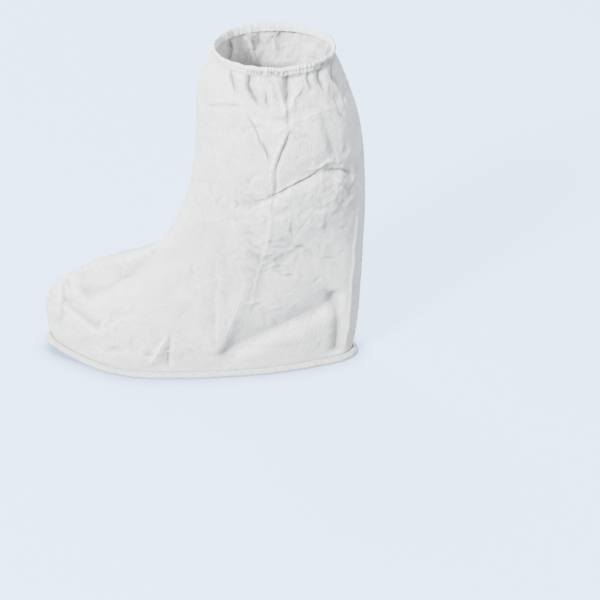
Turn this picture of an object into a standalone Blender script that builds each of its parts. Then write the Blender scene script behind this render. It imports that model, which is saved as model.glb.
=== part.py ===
"""A white disposable boot cover, in the form that it has when it is worn.

Two boot-shaped side panels meet at the front and back seams. Their feet turn out over the edge of the
flat sole, a folded binding covers those raw edges, and an elastic hem draws the top into gathers.

Metres, +Z up, toe towards -Y. The origin lies in the sole, 1.2 mm over its underside, under the middle
of the leg opening.
"""

import bpy
import numpy as np

# Cloth and seams
WALL = 0.0012               # panels and the edge of the sole
BINDING_WALL = 0.0012
HEM_THICKNESS = 0.0034      # four layers of cloth and the elastic
HEM_HEIGHT = 0.0080
HEM_LEAN = 0.62             # rise of a panel's outer top corner over its inner one, as a share of the wall
GAP = 0.0003                # left between pieces that touch
SEAM_ALLOWANCE = 0.0062     # width of the panels' feet and of the sole outside the seam
BINDING_OVERHANG = 0.0077   # from the seam to the binding's outer edge
BINDING_TOP_EDGE = 0.0028   # the binding's upper edge lies this far outside the seam, beside the walls
BINDING_LOWER_EDGE = -0.0015    # its lower edge lies inside the seam, under the sole
EDGE_ROUNDING = 0.0009      # cut off the outer corners of the binding and the hem

# Sole
SOLE_THICKNESS = 0.0024     # where the foot stands, and that of the other cloth at the sewn edge
TOE_SPRING = 0.012          # how far the toe tip is lifted
SPRING_START_Y = -0.205
TOE_TIP_Y = -0.276
TOE_TURN = 0.010            # how far the shoe inside pushes the toe tip to the inner side, -X
TURN_START_Y = -0.140
RISE_INSET = 0.0035         # from the seam to where the sole's raised edge starts to fall
INNER_RING_COLUMNS = ("width_share", "length_share")
INNER_RINGS = (     # of the seam's outline, from where the sole lies flat to its middle strip
    (0.82, 0.945),
    (0.46, 0.80),
    (0.10, 0.58),
)

# Mesh density
COLUMNS = 28                # along a panel from the front seam to the back seam
ROWS = 30                   # up a panel
FOOT_ROWS = 2               # across a panel's turned-out foot
SHORT_TURN = 0.05           # radians to either side of a place, where the seam's direction is taken
STATIONS = 70               # round the hem, the sole and the binding

# Gathers under the hem: flutes all the way round, fading out down the shaft
GATHERS = 14
GATHER_DEPTH = 0.0030
GATHER_LENGTH = 0.055
UNEVEN_SHARE = 0.25         # of the depth, which swells and fades round the hem
UNEVEN_WAVES = 3
UNEVEN_PHASE = 1.0

# Loops round the boot, from the sole seam up to the hem. Each is a slanted ring, given where it crosses
# the front seam and the back seam, with its greatest half width, how far its plan has changed from the
# outline of the sole (0) to an ellipse (1), and how wide it stays towards the front, as a share: the
# cloth is drawn up like a tent over the instep.
LOOP_COLUMNS = ("front_y", "front_z", "back_y", "back_z", "half_width", "roundness", "front_share")
LOOPS = (
    (-0.2760, 0.0130, 0.0920, 0.0016, 0.0585, 0.00, 1.00),
    (-0.2795, 0.0360, 0.0970, 0.0400, 0.0630, 0.10, 1.00),
    (-0.2785, 0.0650, 0.1000, 0.0800, 0.0655, 0.25, 0.97),
    (-0.2628, 0.0908, 0.1020, 0.1200, 0.0670, 0.40, 0.86),
    (-0.2290, 0.1130, 0.1030, 0.1550, 0.0670, 0.50, 0.70),
    (-0.1830, 0.1270, 0.1040, 0.1850, 0.0680, 0.55, 0.62),
    (-0.1500, 0.1400, 0.1040, 0.2080, 0.0700, 0.60, 0.62),
    (-0.1240, 0.1660, 0.1035, 0.2320, 0.0730, 0.75, 0.72),
    (-0.1070, 0.2000, 0.1020, 0.2550, 0.0770, 0.90, 0.86),
    (-0.0950, 0.2420, 0.1000, 0.2810, 0.0800, 1.00, 0.96),
    (-0.0890, 0.2900, 0.0960, 0.3080, 0.0800, 1.00, 1.00),
    (-0.0870, 0.3360, 0.0880, 0.3370, 0.0775, 1.00, 1.00),
    (-0.0800, 0.3680, 0.0770, 0.3680, 0.0725, 1.00, 1.00),
    (-0.0670, 0.3910, 0.0670, 0.3910, 0.0670, 1.00, 1.00),
)
FRONT_NARROWING = (0.25, -0.75)     # along the loop, from where the front share starts to where it is full

# Plan of the sole: its half width as a share of the ellipse on its length and greatest width, by how
# far along it is from the toe (-1) to the heel (1). The toe is pointed and the heel narrow.
PLAN_COLUMNS = ("along", "share")
PLAN = (
    (-1.00, 0.68),
    (-0.88, 0.72),
    (-0.72, 0.87),
    (-0.60, 1.00),
    (-0.48, 1.05),
    (-0.18, 1.02),
    (0.15, 0.96),
    (0.42, 0.92),
    (0.65, 0.86),
    (0.81, 0.82),
    (1.00, 0.90),
)

# Folds pressed into the panels, as lines in the side view. Height is how far the crest stands out, and
# a valley's is negative.
FOLD_COLUMNS = ("side", "start_y", "start_z", "end_y", "end_z", "half_width", "height")
LEFT, RIGHT = 1, -1
FOLDS = (
    (LEFT, -0.001, 0.385, 0.013, 0.340, 0.009, 0.0060),
    (LEFT, 0.018, 0.378, 0.024, 0.345, 0.011, -0.0060),
    (LEFT, 0.018, 0.328, 0.004, 0.288, 0.009, -0.0045),
    (LEFT, 0.000, 0.284, -0.006, 0.195, 0.018, 0.0035),
    (LEFT, -0.006, 0.195, -0.022, 0.134, 0.018, 0.0030),
    (LEFT, -0.028, 0.348, -0.010, 0.310, 0.010, -0.0045),
    (LEFT, 0.006, 0.331, 0.090, 0.352, 0.013, 0.0055),
    (LEFT, -0.041, 0.238, -0.004, 0.243, 0.012, -0.0040),
    (LEFT, -0.004, 0.243, 0.055, 0.277, 0.012, -0.0065),
    (LEFT, 0.055, 0.277, 0.096, 0.261, 0.012, -0.0050),
    (LEFT, -0.040, 0.212, 0.076, 0.220, 0.012, 0.0045),
    (LEFT, -0.064, 0.114, -0.067, 0.024, 0.011, 0.0050),
    (LEFT, -0.062, 0.036, 0.024, 0.077, 0.016, -0.0070),
    (LEFT, 0.024, 0.077, 0.076, 0.098, 0.014, -0.0040),
    (LEFT, -0.046, 0.086, 0.062, 0.136, 0.022, 0.0045),
    (LEFT, -0.126, 0.062, -0.146, 0.022, 0.010, 0.0055),
    (LEFT, -0.120, 0.056, -0.127, 0.018, 0.011, -0.0050),
    (LEFT, -0.249, 0.118, -0.249, 0.068, 0.010, -0.0045),
    (LEFT, -0.244, 0.096, -0.203, 0.062, 0.014, -0.0040),
    (LEFT, 0.076, 0.110, 0.077, 0.038, 0.011, -0.0050),
    (RIGHT, 0.018, 0.384, 0.006, 0.300, 0.014, 0.0050),
    (RIGHT, 0.006, 0.300, -0.010, 0.215, 0.018, 0.0035),
    (RIGHT, -0.010, 0.215, -0.026, 0.140, 0.018, 0.0030),
    (RIGHT, -0.032, 0.384, -0.004, 0.318, 0.010, -0.0045),
    (RIGHT, -0.060, 0.338, 0.082, 0.342, 0.013, 0.0050),
    (RIGHT, -0.050, 0.260, -0.008, 0.251, 0.012, -0.0040),
    (RIGHT, -0.008, 0.251, 0.046, 0.276, 0.012, -0.0060),
    (RIGHT, 0.046, 0.276, 0.094, 0.263, 0.012, -0.0045),
    (RIGHT, -0.046, 0.207, 0.080, 0.205, 0.013, 0.0040),
    (RIGHT, -0.064, 0.030, 0.020, 0.074, 0.016, -0.0065),
    (RIGHT, 0.020, 0.074, 0.080, 0.102, 0.014, -0.0040),
    (RIGHT, -0.050, 0.080, 0.060, 0.138, 0.022, 0.0045),
    (RIGHT, -0.062, 0.118, -0.077, 0.026, 0.012, 0.0045),
    (RIGHT, -0.132, 0.070, -0.156, 0.020, 0.012, 0.0050),
    (RIGHT, -0.244, 0.114, -0.216, 0.060, 0.014, -0.0040),
)
FOLD_END_FADE = 0.018       # a fold runs out over this length at each end
SEAM_QUIET = 0.16           # share of a panel's width next to each seam where the folds die away


def named(names, row):
    """A table row as a dictionary."""
    return dict(zip(names, row))


def column(rows, names, name):
    """One named column of a table, as an array."""
    return np.array([named(names, row)[name] for row in rows])


def smooth(knots, values, at):
    """Values at the places asked for, on a curve through the knots whose slope at each knot is that of
    the line between its two neighbours."""
    slopes = np.gradient(values, knots)
    at = np.clip(at, knots[0], knots[-1])
    left = np.clip(np.searchsorted(knots, at, side="right") - 1, 0, len(knots) - 2)
    span = knots[left + 1] - knots[left]
    s = (at - knots[left]) / span
    return (
        (2 * s**3 - 3 * s**2 + 1) * values[left]
        + (s**3 - 2 * s**2 + s) * span * slopes[left]
        + (3 * s**2 - 2 * s**3) * values[left + 1]
        + (s**3 - s**2) * span * slopes[left + 1]
    )


def step(low, high, value):
    """0 below low, 1 above high, with a smooth rise between."""
    s = np.clip((value - low) / (high - low), 0, 1)
    return s * s * (3 - 2 * s)


def loop_knots():
    """How far up the boot each loop is, as a share of the whole way, from the seams' mean length."""
    ends = [
        np.hypot(
            np.diff(column(LOOPS, LOOP_COLUMNS, side + "_y")),
            np.diff(column(LOOPS, LOOP_COLUMNS, side + "_z")),
        )
        for side in ("front", "back")
    ]
    way = np.concatenate([[0], np.cumsum(sum(ends))])
    return way / way[-1]


def loop_value(name, up):
    """A column of the loop table at the height shares asked for."""
    return smooth(loop_knots(), column(LOOPS, LOOP_COLUMNS, name), up)


def toe_lift(y):
    """How far the toe spring lifts the sole at y: a parabola that starts behind the ball of the foot."""
    ahead = np.clip((SPRING_START_Y - y) / (SPRING_START_Y - TOE_TIP_Y), 0, None)
    return TOE_SPRING * ahead**2


def toe_turn(y):
    """How far the boot is bent sideways at y: a parabola towards the toe tip."""
    ahead = np.clip((TURN_START_Y - y) / (TURN_START_Y - TOE_TIP_Y), 0, None)
    return -TOE_TURN * ahead**2


def seat_height(y):
    """Height of the panels' feet: over the binding's lower fold, the sole's edge and two gaps."""
    return BINDING_WALL + 2 * GAP + toe_lift(y)


def plain_surface(angle, up):
    """Inner face of the uppers before folds: angle runs from the front seam (0) over +X to the back
    seam (pi), up from the sole seam (0) to the hem (1)."""
    along = -np.cos(angle)
    front_y, front_z = loop_value("front_y", up), loop_value("front_z", up)
    back_y, back_z = loop_value("back_y", up), loop_value("back_z", up)
    roundness = loop_value("roundness", up)
    share = smooth(column(PLAN, PLAN_COLUMNS, "along"), column(PLAN, PLAN_COLUMNS, "share"), along)
    y = (front_y + back_y) / 2 + along * (back_y - front_y) / 2
    z = (front_z + back_z) / 2 + along * (back_z - front_z) / 2
    x = loop_value("half_width", up) * np.sin(angle) * (1 + (share - 1) * (1 - roundness))
    x = x * (1 - (1 - loop_value("front_share", up)) * step(*FRONT_NARROWING, along))
    lowest = named(LOOP_COLUMNS, LOOPS[0])
    rise = lowest["back_z"] - lowest["front_z"]
    straight = lowest["front_z"] + (1 + along) * rise / 2
    settle = 1 - step(0, loop_knots()[2], up)
    return np.stack([x, y, z + (seat_height(y) - straight) * settle], axis=-1)


def normals(points):
    """Unit normals of a grid whose first axis runs up and whose second runs with the angle."""
    across = np.gradient(points, axis=1)
    up = np.gradient(points, axis=0)
    found = np.cross(across, up)
    return found / np.maximum(np.linalg.norm(found, axis=-1, keepdims=True), 1e-12)


def gather_wave(angle, height):
    """Flutes that the elastic draws into the cloth, deepest at the hem."""
    hem_base = named(LOOP_COLUMNS, LOOPS[-1])["front_z"]
    depth = step(hem_base - GATHER_LENGTH, hem_base, height) * GATHER_DEPTH
    uneven = 1 - UNEVEN_SHARE + UNEVEN_SHARE * np.sin(UNEVEN_WAVES * angle + UNEVEN_PHASE)
    return depth * uneven * np.cos(GATHERS * angle)


def fold_height(side, y, z):
    """Sum of the folds on one side: each is a rounded ridge or valley along its line."""
    total = np.zeros_like(y)
    for row in FOLDS:
        fold = named(FOLD_COLUMNS, row)
        if fold["side"] != side:
            continue
        run = np.array([fold["end_y"] - fold["start_y"], fold["end_z"] - fold["start_z"]])
        length = np.hypot(*run)
        run = run / length
        from_y, from_z = y - fold["start_y"], z - fold["start_z"]
        along = from_y * run[0] + from_z * run[1]
        away = from_y * run[1] - from_z * run[0]
        ends = step(-FOLD_END_FADE, 0, along) * step(-FOLD_END_FADE, 0, length - along)
        total += fold["height"] * np.exp(-((away / fold["half_width"]) ** 2)) * ends
    return total


def dressed_surface(angle, up, side):
    """Inner face of a panel with its folds and gathers."""
    points = plain_surface(angle, up)
    folds = fold_height(side, points[..., 1], points[..., 2])
    folds = folds * np.clip(np.abs(np.sin(angle)) / np.sin(np.pi * SEAM_QUIET), 0, 1) ** 2
    folds = folds * step(0, loop_knots()[1], up) * (1 - step(loop_knots()[-2], 1, up))
    facing = normals(points)
    level = facing * (1, 1, 0)
    level /= np.linalg.norm(level, axis=-1, keepdims=True)
    gathers = gather_wave(angle, points[..., 2])
    return points + facing * folds[..., None] + level * gathers[..., None]


def seam_line(angle):
    """The sole seam and its outward directions in plan, both at the angles asked for. Outward is square
    to the chord between two points a short turn to either side."""
    level = np.zeros_like(angle)
    ahead, behind = plain_surface(angle + SHORT_TURN, level), plain_surface(angle - SHORT_TURN, level)
    chord = ahead - behind
    outward = np.stack([chord[:, 1], -chord[:, 0]], axis=-1)
    return plain_surface(angle, level), outward / np.linalg.norm(outward, axis=-1, keepdims=True)


def all_round():
    """The angles of the stations on a closed line."""
    return np.linspace(0, 2 * np.pi, STATIONS, endpoint=False)


def material(name, colour, roughness):
    """A plain Principled BSDF."""
    made = bpy.data.materials.new(name)
    made.use_nodes = True
    shader = made.node_tree.nodes["Principled BSDF"]
    shader.inputs["Base Color"].default_value = (*colour, 1)
    shader.inputs["Roughness"].default_value = roughness
    shader.inputs["Metallic"].default_value = 0.0
    return made


def loft(name, rings, finish, collection, closed_across=False, closed_along=False, capped=False):
    """A mesh through rings of equal length, bent sideways at the toe. A face looks to where across
    times along points."""
    count, width = rings.shape[:2]
    rings = rings + toe_turn(rings[..., 1:2]) * (1, 0, 0)
    grid = np.arange(count * width).reshape(count, width)
    if closed_across:
        grid = np.concatenate([grid, grid[:, :1]], axis=1)
    if closed_along:
        grid = np.concatenate([grid, grid[:1]], axis=0)
    quads = np.stack([grid[:-1, :-1], grid[:-1, 1:], grid[1:, 1:], grid[1:, :-1]], axis=-1)
    faces = quads.reshape(-1, 4).tolist()
    if capped:
        faces += [grid[0, width - 1 :: -1].tolist(), grid[-1, :width].tolist()]
    mesh = bpy.data.meshes.new(name)
    mesh.from_pydata(rings.reshape(-1, 3).tolist(), [], faces)
    mesh.materials.append(finish)
    mesh.shade_smooth()
    made = bpy.data.objects.new(name, mesh)
    collection.objects.link(made)
    return made


def thicken(made, thickness, offset):
    """Gives an open sheet its wall."""
    modifier = made.modifiers.new("wall", "SOLIDIFY")
    modifier.thickness = thickness
    modifier.offset = offset
    modifier.use_rim = True


def side_panel(name, side, finish, collection):
    """A panel from the front seam to the back seam, with its foot turned out over the sole's edge."""
    angle = np.linspace(0, np.pi, COLUMNS + 1)
    if side == RIGHT:
        angle = angle - np.pi
    wall = dressed_surface(*np.meshgrid(angle, np.linspace(0, 1, ROWS + 1)), side)
    base, outward = seam_line(angle)
    foot = []
    for share in np.linspace(1, 0, FOOT_ROWS, endpoint=False):
        row = base.copy()
        row[:, :2] += outward * SEAM_ALLOWANCE * share
        foot.append(row)
    rings = np.concatenate([np.stack(foot), wall])
    edge = GAP / 2
    rings[..., 0] = np.maximum(rings[..., 0], edge) if side == LEFT else np.minimum(rings[..., 0], -edge)
    thicken(loft(name, rings, finish, collection), WALL, 1)


def sole_rings(edge_drop, rise):
    """One face of the sole from its edge to its middle strip: the edge lies this far under the panels'
    feet, and the flat this high over the origin."""
    base, outward = seam_line(all_round())
    rings = []
    for reach in (SEAM_ALLOWANCE, -RISE_INSET):
        edge = base.copy()
        edge[:, :2] += outward * reach
        edge[:, 2] = seat_height(base[:, 1]) - edge_drop
        rings.append(edge)
    middle_y = (base[:, 1].min() + base[:, 1].max()) / 2
    for row in INNER_RINGS:
        share = named(INNER_RING_COLUMNS, row)
        ring = base.copy()
        ring[:, 0] *= share["width_share"]
        ring[:, 1] = middle_y + (ring[:, 1] - middle_y) * share["length_share"]
        ring[:, 2] = toe_lift(ring[:, 1]) + rise
        rings.append(ring)
    return np.stack(rings)


def sole(finish, collection):
    """The sole sheet: flat on the ground, with a thinner edge that rises over the binding's lower fold."""
    underside = sole_rings(GAP + WALL, -WALL)
    top = sole_rings(GAP, SOLE_THICKNESS - WALL)
    rings = np.concatenate([underside[::-1], top])
    loft("sole", rings, finish, collection, closed_across=True, capped=True)


def binding_profile():
    """Cross-section of the binding: a C whose mouth faces the boot, as (outward, up) points counted
    from the seam and from the underside of the panels' feet."""
    top = WALL + GAP
    bottom = -(WALL + 2 * GAP)
    throat = SEAM_ALLOWANCE + GAP
    return (
        (BINDING_TOP_EDGE, top),
        (BINDING_TOP_EDGE, top + BINDING_WALL),
        (BINDING_OVERHANG - EDGE_ROUNDING, top + BINDING_WALL),
        (BINDING_OVERHANG, top + BINDING_WALL - EDGE_ROUNDING),
        (BINDING_OVERHANG, bottom - BINDING_WALL + EDGE_ROUNDING),
        (BINDING_OVERHANG - EDGE_ROUNDING, bottom - BINDING_WALL),
        (BINDING_LOWER_EDGE, bottom - BINDING_WALL),
        (BINDING_LOWER_EDGE, bottom),
        (throat, bottom),
        (throat, top),
    )


def hem_profile():
    """Cross-section of the hem: a flat band with rounded edges, as (outward, up) points."""
    inner, outer = (WALL - HEM_THICKNESS) / 2, (WALL + HEM_THICKNESS) / 2
    return (
        (inner, EDGE_ROUNDING),
        (inner, HEM_HEIGHT - EDGE_ROUNDING),
        (inner + EDGE_ROUNDING, HEM_HEIGHT),
        (outer - EDGE_ROUNDING, HEM_HEIGHT),
        (outer, HEM_HEIGHT - EDGE_ROUNDING),
        (outer, EDGE_ROUNDING),
        (outer - EDGE_ROUNDING, 0),
        (inner + EDGE_ROUNDING, 0),
    )


def swept_band(name, base, outward, profile, finish, collection):
    """A closed band: its cross-section carried round a closed line."""
    rings = []
    for reach, rise in profile:
        ring = base.copy()
        ring[:, :2] += outward * reach
        ring[:, 2] += rise
        rings.append(ring)
    loft(name, np.stack(rings[::-1]), finish, collection, closed_across=True, closed_along=True)


def sole_binding(finish, collection):
    """The strip folded round the edges of the panels and the sole."""
    base, outward = seam_line(all_round())
    swept_band("sole_binding", base, outward, binding_profile(), finish, collection)


def elastic_hem(finish, collection):
    """The hem stands on the panels' top edges and follows their gathers."""
    angle = all_round()
    top = plain_surface(angle, np.ones_like(angle))
    radial = top[:, :2] / np.linalg.norm(top[:, :2], axis=1, keepdims=True)
    top[:, :2] += radial * gather_wave(angle, top[:, 2])[:, None]
    wrapped = np.concatenate([top[-1:], top, top[:1]])
    tangent = np.gradient(wrapped[:, :2], axis=0)[1:-1]
    outward = np.stack([tangent[:, 1], -tangent[:, 0]], axis=-1)
    outward /= np.linalg.norm(outward, axis=-1, keepdims=True)
    top[:, 2] += GAP + WALL * HEM_LEAN
    swept_band("elastic_hem", top, outward, hem_profile(), finish, collection)


def main():
    for old in list(bpy.data.objects):
        bpy.data.objects.remove(old, do_unlink=True)
    collection = bpy.data.collections.new("boot_cover")
    bpy.context.scene.collection.children.link(collection)
    nonwoven = material("white_nonwoven", (0.86, 0.86, 0.86), 0.62)
    second_panel = material("white_nonwoven_far_side", (0.85, 0.85, 0.85), 0.62)
    sole_sheet = material("white_coated_sole", (0.80, 0.80, 0.79), 0.55)
    binding = material("white_binding", (0.82, 0.82, 0.81), 0.66)
    hem = material("white_hem", (0.87, 0.87, 0.87), 0.64)
    side_panel("left_panel", LEFT, nonwoven, collection)
    side_panel("right_panel", RIGHT, second_panel, collection)
    sole(sole_sheet, collection)
    sole_binding(binding, collection)
    elastic_hem(hem, collection)


main()
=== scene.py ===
"""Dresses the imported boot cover: creased nonwoven panels, sole sheet, bound sole seam and gathered hem.

Metres, but millimetres in the tables that say so. +Z is up, the toe is towards -Y, and the side that the
camera sees is at +X.
"""

import bpy
import numpy as np
from bpy.props import FloatProperty, FloatVectorProperty, IntProperty, PointerProperty
from bpy.types import Operator, Panel, PropertyGroup
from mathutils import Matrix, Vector


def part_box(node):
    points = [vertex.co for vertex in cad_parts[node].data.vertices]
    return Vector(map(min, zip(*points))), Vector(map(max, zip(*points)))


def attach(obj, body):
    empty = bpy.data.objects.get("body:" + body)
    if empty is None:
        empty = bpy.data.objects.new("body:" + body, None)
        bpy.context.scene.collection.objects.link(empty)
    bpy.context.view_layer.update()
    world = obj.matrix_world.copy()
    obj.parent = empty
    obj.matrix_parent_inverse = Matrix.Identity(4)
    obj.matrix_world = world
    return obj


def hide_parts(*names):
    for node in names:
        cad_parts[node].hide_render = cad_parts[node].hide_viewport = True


bl_info = {
    "name": "Boot Cover Dressing",
    "version": (1, 0, 0),
    "blender": (4, 5, 0),
    "location": "View3D > Sidebar > Boot Cover",
    "description": "Builds the creased cloth, sole, binding and gathered hem of a boot cover on its frame",
    "category": "Object",
}

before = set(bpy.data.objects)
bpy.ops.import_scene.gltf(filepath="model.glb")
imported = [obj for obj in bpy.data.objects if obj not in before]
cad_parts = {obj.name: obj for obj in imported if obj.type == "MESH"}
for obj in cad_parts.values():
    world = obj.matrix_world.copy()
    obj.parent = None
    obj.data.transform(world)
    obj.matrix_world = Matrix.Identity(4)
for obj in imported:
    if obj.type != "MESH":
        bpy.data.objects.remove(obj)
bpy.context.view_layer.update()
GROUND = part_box("sole")[0].z
HEM_BASE = 0.3910
MM = 0.001

# Cloth and seams
WALL = 0.0012
GAP = 0.0003
SEAM_ALLOWANCE = 0.0062
FOOT_ROWS = (1.0, 0.5)  # rows of a panel's turned out foot, in shares of the seam allowance
HALF_SEAM = 0.00004  # from a panel's edge to the middle plane
LEFT, RIGHT = 1, -1

# Sole: the cloth, its rings from the seam inward, and its wrinkles
SOLE_SHEET = 0.0009
SOLE_LIFT = 0.0001
SOLE_EDGE = SEAM_ALLOWANCE - 0.0004
SOLE_RINGS, INNERMOST_RING = 48, 0.06
INNERMOST_LENGTH = 0.48  # a share of the seam's length, towards which the rings shorten
SOLE_FLAT = (0.96, 0.84)  # ring shares between which it comes down to the ground
SOFT_WRINKLE = (0.012, 0.020, 0.0005)  # across, along and high
SHARP_WRINKLE = (0.015, 0.024, 0.0004)
TOE_SPRING = 0.012
SPRING_START_Y = -0.205
TOE_TIP_Y = -0.276
TOE_TURN = 0.010
TURN_START_Y = -0.140
SHORT_TURN = 0.05

# Loops round the boot from the sole seam up to the hem
LOOP_COLUMNS = ("front_y", "front_z", "back_y", "back_z", "half_width", "roundness", "front_share")
LOOPS = (
    (-0.2760, 0.0130, 0.0920, 0.0016, 0.0585, 0.00, 1.00),
    (-0.2795, 0.0360, 0.0970, 0.0400, 0.0630, 0.10, 1.00),
    (-0.2785, 0.0650, 0.1000, 0.0800, 0.0655, 0.25, 0.97),
    (-0.2628, 0.0908, 0.1020, 0.1200, 0.0670, 0.40, 0.86),
    (-0.2290, 0.1130, 0.1030, 0.1550, 0.0670, 0.50, 0.70),
    (-0.1830, 0.1270, 0.1040, 0.1850, 0.0680, 0.55, 0.62),
    (-0.1500, 0.1400, 0.1040, 0.2080, 0.0700, 0.60, 0.62),
    (-0.1240, 0.1660, 0.1035, 0.2320, 0.0730, 0.75, 0.72),
    (-0.1070, 0.2000, 0.1020, 0.2550, 0.0770, 0.90, 0.86),
    (-0.0950, 0.2420, 0.1000, 0.2810, 0.0800, 1.00, 0.96),
    (-0.0890, 0.2900, 0.0960, 0.3080, 0.0800, 1.00, 1.00),
    (-0.0870, 0.3360, 0.0880, 0.3370, 0.0775, 1.00, 1.00),
    (-0.0800, 0.3680, 0.0770, 0.3680, 0.0725, 1.00, 1.00),
    (-0.0670, 0.3910, 0.0670, 0.3910, 0.0670, 1.00, 1.00),
)
FRONT_NARROWING = (0.25, -0.75)

# Half width of the sole as a share of an ellipse, from the toe (-1) to the heel (1)
PLAN_COLUMNS = ("along", "share")
PLAN = (
    (-1.00, 0.68),
    (-0.88, 0.72),
    (-0.72, 0.87),
    (-0.60, 1.00),
    (-0.48, 1.05),
    (-0.18, 1.02),
    (0.15, 0.96),
    (0.42, 0.92),
    (0.65, 0.86),
    (0.81, 0.82),
    (1.00, 0.90),
)

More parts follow.
